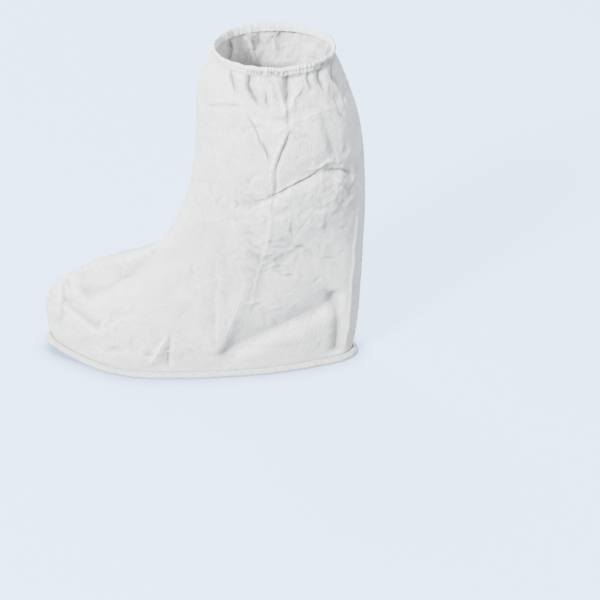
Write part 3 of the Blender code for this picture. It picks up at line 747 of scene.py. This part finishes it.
def rounded(profile):
    """Corner cutting on a closed profile: each side gives its points at a quarter and three quarters.
    Returned as its columns, outward and up."""
    points = MM * np.stack([column(profile, PROFILE_COLUMNS, name) for name in PROFILE_COLUMNS], axis=-1)
    after = np.roll(points, -1, axis=0)
    points = np.stack([0.75 * points + 0.25 * after, 0.25 * points + 0.75 * after], axis=1).reshape(-1, 2)
    return points[:, :1], points[:, 1:]


def beside(line, outward, out, up):
    """A line moved outward in plan, and up."""
    return np.column_stack([line[:, :2] + outward * out, line[:, 2] + up])


def new_object(name, points, faces, finish, cloth_map=None, **attributes):
    """A smooth mesh object at the origin, with the cloth's own lengths as its UV map if given, and a
    named attribute for each further array of numbers, one for each point."""
    mesh = bpy.data.meshes.new(name)
    mesh.from_pydata(points.reshape(-1, 3).tolist(), [], faces)
    if cloth_map is not None:
        corners = np.empty(len(mesh.loops), dtype=np.int32)
        mesh.loops.foreach_get("vertex_index", corners)
        layer = mesh.uv_layers.new(name="cloth")
        layer.data.foreach_set("uv", cloth_map.reshape(-1, 2)[corners].astype(np.float32).ravel())
    for key, values in attributes.items():
        kept = mesh.attributes.new(key, "FLOAT", "POINT")
        kept.data.foreach_set("value", values.astype(np.float32).ravel())
    mesh.materials.append(finish)
    mesh.shade_smooth()
    made = bpy.data.objects.new(name, mesh)
    bpy.context.scene.collection.objects.link(made)
    return made


def grid_faces(rows, width, closed_across=False, closed_along=False):
    """Quads of a grid. A face looks to where across times along points."""
    grid = np.arange(rows * width).reshape(rows, width)
    if closed_across:
        grid = np.concatenate([grid, grid[:, :1]], axis=1)
    if closed_along:
        grid = np.concatenate([grid, grid[:1]], axis=0)
    quads = np.stack([grid[:-1, :-1], grid[:-1, 1:], grid[1:, 1:], grid[1:, :-1]], axis=-1)
    return quads.reshape(-1, 4).tolist()


def swept_band(name, base, outward, reach, rise, finish, white):
    """A closed band: its cross-section, carried round a line, with each point's share of the white, which
    holds its painted shade. The arrays have a row for each point of the section and a column for each
    station."""
    points = np.repeat(base[None], reach.shape[0], axis=0)
    points[..., :2] += outward[None] * reach[..., None]
    points[..., 2] += rise
    points = placed(points[::-1])
    faces = grid_faces(*points.shape[:2], closed_across=True, closed_along=True)
    return new_object(name, points, faces, finish, white=white[::-1])


def run_lengths(points):
    """Length along a closed line at each of its points, and its whole length."""
    gaps = np.linalg.norm(np.roll(points, -1, axis=0) - points, axis=-1)
    return np.concatenate([[0], np.cumsum(gaps)[:-1]]), gaps.sum()


def ripple(way, whole, pitch, seed):
    """A wave with sharp crests round a closed line, of a whole number of turns about the pitch long,
    hurried and slowed by smooth noise."""
    turns = np.round(whole / pitch)
    drawn_phase = np.random.default_rng(seed).uniform(0, 2 * np.pi, 4)
    around = 2 * np.pi * way / whole
    hurry = sum(1.6 / k * np.sin((5 * k + 3) * around + drawn_phase[k - 1]) for k in (1, 2, 3))
    return crested(turns * around + hurry, RIPPLE_CREST)


def stitches(name, line, outward, facing, pitch, stitch, finish):
    """Thread stitches beside a closed line. Each is a capsule whose middle rises from the cloth by a half
    sine, placed by its centre, its run, and its facing and third directions."""
    size = named(STITCH_COLUMNS, stitch)
    line = placed(beside(line, outward, size["outward"], size["up"]))
    way, whole = run_lengths(line)
    count = int(whole / pitch)
    centres_at = np.linspace(0, whole, count, endpoint=False)
    way = np.append(way, whole)

    def read(values, at):
        looped = np.concatenate([values, values[:1]])
        return np.stack([np.interp(at % whole, way, looped[:, k]) for k in range(3)], axis=-1)

    centre, normal = read(line, centres_at), unit(read(facing, centres_at))
    run = unit(read(line, centres_at + pitch / 3) - read(line, centres_at - pitch / 3))
    third = unit(np.cross(run, normal))
    share = np.linspace(-1, 1, STITCH_RINGS)
    fat = size["radius"] * np.sqrt(np.clip(1 - share**8, 0.02, 1))
    turn = all_round(STITCH_SIDES)
    along = share[:, None] * size["length"] / 2 + 0 * turn
    out = size["lift"] * np.cos(share * np.pi / 2)[:, None] + fat[:, None] * np.sin(turn)
    aside = fat[:, None] * np.cos(turn)
    points = centre[:, None, None] + sum(
        direction[:, None, None] * off[None, ..., None]
        for direction, off in ((run, along), (normal, out), (third, aside))
    )
    one = np.array(grid_faces(STITCH_RINGS, STITCH_SIDES, closed_across=True))[:, ::-1]
    each = STITCH_RINGS * STITCH_SIDES
    faces = (one[None] + each * np.arange(count)[:, None, None]).reshape(-1, 4).tolist()
    first = np.arange(STITCH_SIDES)[None] + each * np.arange(count)[:, None]
    faces += first.tolist() + (first[:, ::-1] + each - STITCH_SIDES).tolist()
    return new_object(name, points, faces, finish)


def new_material(name, sockets):
    """A material whose Principled shader has these sockets set, with its tree and the shader."""
    made = bpy.data.materials.new(name)
    made.use_nodes = True
    shader = made.node_tree.nodes["Principled BSDF"]
    for socket, value in sockets.items():
        shader.inputs[socket].default_value = value
    return made, made.node_tree, shader


def node(tree, kind, **settings):
    """A shader node. A setting is a socket's value where the node has that socket, or else a property."""
    made = tree.nodes.new(kind)
    for key, value in settings.items():
        if key in made.inputs:
            made.inputs[key].default_value = value
        else:
            setattr(made, key, value)
    return made


def linked(tree, kind, sources, **settings):
    """A shader node whose sockets, by name or number, take these outputs."""
    made = node(tree, kind, **settings)
    for socket, source in sources.items():
        tree.links.new(source, made.inputs[socket])
    return made


def attribute(tree, name):
    """The number that the mesh has in an attribute."""
    return node(tree, "ShaderNodeAttribute", attribute_name=name).outputs["Fac"]


def ranged(tree, source, into, out_of=(0.0, 1.0)):
    """The source with one range of values turned into another, and held at its ends."""
    made = linked(tree, "ShaderNodeMapRange", {"Value": source})
    for socket, value in zip(("From Min", "From Max", "To Min", "To Max"), (*out_of, *into)):
        made.inputs[socket].default_value = value
    return made.outputs["Result"]


def product(tree, first, second):
    """Two outputs multiplied."""
    made = linked(tree, "ShaderNodeMath", {0: first, 1: second}, operation="MULTIPLY")
    return made.outputs["Value"]


def coloured(tree, shader, socket, colour, share):
    """Gives the shader's socket the colour times the share."""
    made = linked(tree, "ShaderNodeVectorMath", {"Scale": share}, operation="SCALE")
    made.inputs[0].default_value = colour
    tree.links.new(made.outputs["Vector"], shader.inputs[socket])


def nonwoven(name, colour, roughness, grain=1.0, on_panel=False, marked=False):
    """Flash-spun nonwoven. Its white varies by up to a fifth with swirling strands, and with soft clouds.
    Its relief, from coarse to fine: dents with kinks between them, the distance to scattered points; thin
    crease lines, where two points are equally far; cockles, the same dents smaller; the strands; and a
    linen emboss of two crossed waves, along the cloth's own lengths on a panel. There the modelled creases
    also have their lines, in relief and as painted shade along the valleys. A marked piece has its share of
    white, with its painted shade and highlight, in an attribute."""
    made, tree, shader = new_material(name, {"Roughness": roughness, **NONWOVEN_GLOSS})
    place = node(tree, "ShaderNodeTexCoord")
    here = {"Vector": place.outputs["Object"]}
    lengths = {"Vector": place.outputs["UV" if on_panel else "Object"]}
    bend = linked(tree, "ShaderNodeTexNoise", here, Scale=60.0, Detail=2.0)
    bent = linked(tree, "ShaderNodeVectorMath", {0: bend.outputs["Color"], 2: place.outputs["Object"]},
                  operation="MULTIPLY_ADD")
    bent.inputs[1].default_value = (0.012, 0.012, 0.012)
    wavy = {"Vector": bent.outputs["Vector"]}
    dents = linked(tree, "ShaderNodeTexVoronoi", wavy, feature="F1", Scale=82.0)
    edges = linked(tree, "ShaderNodeTexVoronoi", wavy, feature="DISTANCE_TO_EDGE", Scale=44.0)
    cockles = linked(tree, "ShaderNodeTexVoronoi", wavy, feature="F1", Scale=210.0)
    strands = linked(tree, "ShaderNodeTexNoise", here, noise_type="RIDGED_MULTIFRACTAL", normalize=True,
                     Scale=150.0, Detail=5.0, Roughness=0.55, Distortion=1.6)
    clouds = linked(tree, "ShaderNodeTexNoise", here, Scale=38.0, Detail=3.0)
    weft = linked(tree, "ShaderNodeTexWave", lengths, bands_direction="X", Scale=190.0, Distortion=1.2)
    warp = linked(tree, "ShaderNodeTexWave", lengths, bands_direction="Y", Scale=215.0, Distortion=1.2)
    linen = linked(tree, "ShaderNodeMath", {0: weft.outputs["Fac"], 1: warp.outputs["Fac"]}, operation="ADD")
    heights = {
        "dents": dents.outputs["Distance"],
        "kinks": ranged(tree, edges.outputs["Distance"], (1.0, 0.0), (0.0, KINK_WIDTH)),
        "cockles": cockles.outputs["Distance"],
        "strands": strands.outputs["Fac"],
        "linen": linen.outputs["Value"],
    }
    tint = ranged(tree, strands.outputs["Fac"], STRAND_TINT)
    white = product(tree, tint, ranged(tree, clouds.outputs["Fac"], CLOUD_TINT, CLOUD_RANGE))
    # A marked piece's white holds its painted shade and highlight
    if marked:
        white = product(tree, white, attribute(tree, "white"))
    if on_panel:
        away = linked(tree, "ShaderNodeMath", {0: attribute(tree, "crease_distance")}, operation="ABSOLUTE")
        near = ranged(tree, away.outputs["Value"], (1.0, 0.0), (0.0, CREASE_LINE))
        heights["crease_lines"] = product(tree, near, attribute(tree, "crease_strength"))
        # Painted shade: the white darkens along the valley lines of the modelled creases
        white = product(tree, white, ranged(tree, heights["crease_lines"], CREASE_LINE_SHADE, (-1.0, 0.0)))
    coloured(tree, shader, "Base Color", colour, white)
    below = None
    for row in BUMPS:
        relief = named(BUMP_COLUMNS, row)
        if relief["relief"] not in heights:
            continue
        depth = relief["depth"] * (grain if relief["fine"] else 1)
        source = {"Height": heights[relief["relief"]]}
        if relief["crumpled"] and on_panel:
            source["Strength"] = attribute(tree, "crumple")
        if below:
            source["Normal"] = below.outputs["Normal"]
        below = linked(tree, "ShaderNodeBump", source, Strength=relief["strength"], Distance=depth)
    tree.links.new(below.outputs["Normal"], shader.inputs["Normal"])
    return made


def thread(name, colour):
    """Spun thread: fine slanting bands that darken it a little."""
    made, tree, shader = new_material(name, {"Roughness": 0.7})
    here = {"Vector": node(tree, "ShaderNodeTexCoord").outputs["Object"]}
    bands = linked(tree, "ShaderNodeTexWave", here, bands_direction="DIAGONAL", Scale=900.0, Distortion=0.6)
    coloured(tree, shader, "Base Color", colour, ranged(tree, bands.outputs["Fac"], (0.86, 1.0)))
    return made


def backdrop(name, colour):
    """Matt paper for the floor, glowing as if lit from behind, with a faint cloudiness and a painted soft
    shadow where the boot stands on it."""
    made, tree, shader = new_material(
        name, {"Roughness": 0.95, "Specular IOR Level": 0.1, "Emission Strength": 1.0})
    # Painted shadow: the glow dims where ambient occlusion finds the boot near
    near = node(tree, "ShaderNodeAmbientOcclusion", Distance=CONTACT_REACH, samples=8)
    left = ranged(tree, near.outputs["AO"], (CONTACT_SHADE, 1.0), (0.5, 1.0))
    coloured(tree, shader, "Emission Color", PAPER_GLOW, left)
    here = {"Vector": node(tree, "ShaderNodeTexCoord").outputs["Object"]}
    clouds = linked(tree, "ShaderNodeTexNoise", here, Scale=2.0, Detail=2.0)
    coloured(tree, shader, "Base Color", colour, ranged(tree, clouds.outputs["Fac"], (0.99, 1.0)))
    return made


def walled(piece, thickness, offset):
    """Gives a sheet its thickness, along its faces' normals at offset 1 and against them at -1."""
    modifier = piece.modifiers.new("wall", "SOLIDIFY")
    modifier.thickness = thickness
    modifier.offset = offset


class BOOTCOVER_OT_side_panels(Operator):
    """Make the two creased side panels"""

    bl_idname = "bootcover.side_panels"
    bl_label = "Side panels"

    def execute(self, context):
        cloth, colour = context.scene.boot_cloth, context.scene.boot_colours.panel
        finish = nonwoven("white_nonwoven", colour, roughness=0.58, on_panel=True, marked=True)
        for name, side in (("left_panel", LEFT), ("right_panel", RIGHT)):
            angle = np.linspace(0, np.pi, cloth.columns + 1)
            if side == RIGHT:
                angle = angle - np.pi
            turns, shares = np.meshgrid(angle, np.linspace(0, 1, cloth.rows + 1))
            wall, marks = dressed_surface(turns, shares, side, cloth.crumple)
            base, outward = seam_line(angle)
            feet = np.repeat(base[None], len(FOOT_ROWS), axis=0)
            feet[..., :2] += outward[None] * np.array(FOOT_ROWS)[:, None, None] * SEAM_ALLOWANCE
            points = np.concatenate([feet, wall])
            points[..., 0] = side * np.maximum(points[..., 0] * side, HALF_SEAM)
            across, _, rise = cloth_lengths(points)
            faces = grid_faces(*points.shape[:2])
            marks = {
                key: np.concatenate([values[:1]] * len(FOOT_ROWS) + [values]) for key, values in marks.items()
            }
            marks["crumple"] = crumple_share(side, points[..., 1], points[..., 2])
            cloth_map = np.stack([across, rise], axis=-1)
            piece = new_object(name + "_cloth", placed(points), faces, finish, cloth_map, **marks)
            walled(piece, cloth.wall, 1.0)
            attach(piece, "root")
            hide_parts(name)
        return {"FINISHED"}


class BOOTCOVER_OT_sole(Operator):
    """Make the sole sheet"""

    bl_idname = "bootcover.sole"
    bl_label = "Sole"

    def execute(self, context):
        colour = context.scene.boot_colours.sole
        finish = nonwoven("coated_sole_nonwoven", colour, roughness=0.50, grain=1.3)
        base, outward = seam_line(all_round(360))
        seat = seat_height(base[:, 1]) - GAP
        edge = beside(base, outward, SOLE_EDGE, 0.0)
        edge[:, 2] = seat
        rings = [edge]
        middle_y = (base[:, 1].min() + base[:, 1].max()) / 2
        lowest = GROUND + SOLE_SHEET + SOLE_LIFT
        for share in np.linspace(1.0, INNERMOST_RING, SOLE_RINGS):
            ring = base.copy()
            ring[:, 0] *= share
            kept = INNERMOST_LENGTH + (1 - INNERMOST_LENGTH) * share**0.8
            ring[:, 1] = middle_y + (ring[:, 1] - middle_y) * kept
            flat = step(*SOLE_FLAT, share)
            wrinkle = 0
            for relief, (across, along, height), seed in (
                (soft_relief, SOFT_WRINKLE, 61),
                (facet_relief, SHARP_WRINKLE, 62),
            ):
                wrinkle = wrinkle + height * relief(ring[:, 0] / across, ring[:, 1] / along, seed)
            ring[:, 2] = seat * (1 - flat) + (toe_lift(ring[:, 1]) + lowest + np.abs(wrinkle)) * flat
            rings.append(ring)
        points = np.stack(rings)
        faces = grid_faces(*points.shape[:2], closed_across=True)
        count = points.shape[0] * points.shape[1]
        faces.append(list(range(count - points.shape[1], count)))
        piece = new_object("sole_sheet", placed(points), faces, finish)
        walled(piece, SOLE_SHEET, -1.0)
        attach(piece, "root")
        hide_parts("sole")
        return {"FINISHED"}


class BOOTCOVER_OT_binding(Operator):
    """Make the binding round the sole seam, and its stitches"""

    bl_idname = "bootcover.binding"
    bl_label = "Sole binding"

    def execute(self, context):
        cloth, colours = context.scene.boot_cloth, context.scene.boot_colours
        finish = nonwoven("binding_nonwoven", colours.binding, roughness=0.62, marked=True)
        base, outward = seam_line(all_round(cloth.stations))
        way, whole = run_lengths(base)
        out, up = rounded(BINDING_PROFILE)
        slant = (way[None] + WRINKLE_SLANT * (up - out)) % whole
        fine, coarse = (ripple(slant, whole, pitch, 8) for pitch in WRINKLE_PITCHES)
        puff = WRINKLE_HEIGHTS[0] * fine + WRINKLE_HEIGHTS[1] * coarse
        outer, over = step(0.0022, 0.0070, out), step(-0.0024, 0.0030, up)
        reach = out + outer * puff * (up > -0.0028)
        rise = up + over * puff * step(0.0018, 0.0034, out)
        # Painted shade along the seam, where the binding tucks against the wall, and in the hollows of its
        # wrinkles
        inner = 1 - step(0.0024, 0.0040, out)
        white = 1 - BINDING_SEAM_SHADE * inner + WRINKLE_SHADE * np.minimum(fine + coarse, 0) * outer
        piece = swept_band("sole_binding_strip", base, outward, reach, rise, finish, white)
        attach(piece, "root")
        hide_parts("sole_binding")
        facing = np.tile([0.0, 0.0, 1.0], (len(base), 1))
        finish = thread("binding_thread", colours.thread)
        sewn = stitches(
            "binding_stitches", base, outward, facing, cloth.stitch_pitch, BINDING_STITCH, finish)
        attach(sewn, "root")
        return {"FINISHED"}


class BOOTCOVER_OT_hem(Operator):
    """Make the gathered hem over its elastic, and its stitches"""

    bl_idname = "bootcover.hem"
    bl_label = "Elastic hem"

    def execute(self, context):
        cloth, colours = context.scene.boot_cloth, context.scene.boot_colours
        finish = nonwoven("hem_nonwoven", colours.panel, roughness=0.60, marked=True)
        angle = all_round(cloth.stations)
        base = plain_surface(angle, np.ones_like(angle))
        gathers = gather_relief(angle, np.zeros_like(angle))[:, None]
        base[:, :2] += unit(base[:, :2]) * HEM_GATHERS * gathers
        wrapped = np.concatenate([base[-1:], base, base[:1]])
        tangent = np.gradient(wrapped[:, :2], axis=0)[1:-1]
        outward = unit(np.stack([tangent[:, 1], -tangent[:, 0]], axis=-1))
        way, whole = run_lengths(base)
        out, up = rounded(HEM_PROFILE)
        above = np.clip((up - HEM_GROOVE) / 0.0055, 0, 1)
        below = np.clip((HEM_GROOVE - up) / 0.0012, 0, 1)
        outer = step(-0.0002, 0.0010, out)
        groove = bell(up, HEM_GROOVE - 0.0010, 0.0016) * outer
        ruffle = ripple(way, whole, RUFFLE_PITCH, 5) * (0.6 + 0.4 * np.sin(9 * angle + 0.7))
        tight = 0.20 + 0.80 * step(-0.4, 0.2, np.sin(5 * angle + 0.40))
        pucker = np.abs(ripple(way, whole, 2 * PUCKER_PITCH, 6)) * tight
        sway = np.sin(17 * angle + 2.0 * np.sin(5 * angle))
        reach = out + (RUFFLE_REACH[0] + RUFFLE_REACH[1] * above) * ruffle * np.where(out > 0, 1, 0.3)
        reach = reach - PUCKER_DEPTH * np.maximum(below * outer, groove) * pucker
        rise = up + above**2 * (RUFFLE_RISE * ruffle + SWAY_RISE * sway)
        # Painted shade: dark dashes in the puckers of the groove, the groove itself, and the hollows of the
        # ruffles
        white = 1 - PUCKER_SHADE * groove * pucker - GROOVE_SHADE * groove
        white = white + RUFFLE_SHADE * np.minimum(ruffle, 0) * (1 - below)
        piece = swept_band("hem_casing", base, outward, reach, rise, finish, white)
        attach(piece, "root")
        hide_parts("elastic_hem")
        facing = np.concatenate([outward, np.zeros((len(base), 1))], axis=1)
        finish = thread("hem_thread", colours.thread)
        sewn = stitches("hem_stitches", base, outward, facing, cloth.stitch_pitch, HEM_STITCH, finish)
        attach(sewn, "root")
        return {"FINISHED"}


class BOOTCOVER_OT_stage(Operator):
    """Make the floor, the lights and the camera"""

    bl_idname = "bootcover.stage"
    bl_label = "Stage"

    def execute(self, context):
        scene, settings = context.scene, context.scene.boot_stage
        corners = FLOOR_HALF * np.array([(-1, -1, 0), (1, -1, 0), (1, 1, 0), (-1, 1, 0)]) + (0, 0, GROUND)
        floor = new_object("floor", corners, [[0, 1, 2, 3]], backdrop("pale_paper", scene.boot_colours.floor))
        floor.visible_diffuse = False
        for row in LIGHTS:
            light = named(LIGHT_COLUMNS, row)
            lamp = bpy.data.lights.new(light["name"], "AREA")
            lamp.size = light["size"]
            lamp.energy = getattr(settings, light["setting"])
            holder = bpy.data.objects.new(light["name"], lamp)
            holder.location = light["place"]
            towards = Vector(LIGHT_AIM) - Vector(light["place"])
            holder.rotation_euler = towards.to_track_quat("-Z", "Y").to_euler()
            scene.collection.objects.link(holder)
        world = bpy.data.worlds.new("pale_sky")
        world.use_nodes = True
        sky = world.node_tree.nodes["Background"]
        sky.inputs["Color"].default_value = SKY_COLOUR
        sky.inputs["Strength"].default_value = settings.sky
        scene.world = world
        lens = bpy.data.cameras.new("camera")
        lens.sensor_width = 36
        lens.angle = np.radians(CAMERA_FIELD)
        camera = bpy.data.objects.new("camera", lens)
        camera.location = CAMERA_PLACE
        camera.rotation_euler = [np.radians(turn) for turn in CAMERA_TURN]
        scene.collection.objects.link(camera)
        scene.camera = camera
        return {"FINISHED"}


class BOOTCOVER_PT_sidebar(Panel):
    """Lists the sizes, the colours and the pieces"""

    bl_label = "Boot Cover"
    bl_space_type = "VIEW_3D"
    bl_region_type = "UI"
    bl_category = "Boot Cover"

    def draw(self, context):
        for settings in (context.scene.boot_cloth, context.scene.boot_colours, context.scene.boot_stage):
            box = self.layout.box()
            for key in settings.__annotations__:
                box.prop(settings, key)
        for operator in OPERATORS:
            self.layout.operator(operator.bl_idname)


SETTINGS = (
    ("boot_cloth", ClothSettings),
    ("boot_colours", ColourSettings),
    ("boot_stage", StageSettings),
)
OPERATORS = (
    BOOTCOVER_OT_side_panels,
    BOOTCOVER_OT_sole,
    BOOTCOVER_OT_binding,
    BOOTCOVER_OT_hem,
    BOOTCOVER_OT_stage,
)


def register():
    for name, group in SETTINGS:
        bpy.utils.register_class(group)
        setattr(bpy.types.Scene, name, PointerProperty(type=group))
    for cls in (*OPERATORS, BOOTCOVER_PT_sidebar):
        bpy.utils.register_class(cls)


def unregister():
    for cls in (BOOTCOVER_PT_sidebar, *reversed(OPERATORS)):
        bpy.utils.unregister_class(cls)
    for name, group in reversed(SETTINGS):
        delattr(bpy.types.Scene, name)
        bpy.utils.unregister_class(group)


def main():
    register()
    bpy.ops.bootcover.side_panels()
    bpy.ops.bootcover.sole()
    bpy.ops.bootcover.binding()
    bpy.ops.bootcover.hem()
    bpy.ops.bootcover.stage()


if __name__ == "__main__":
    main()
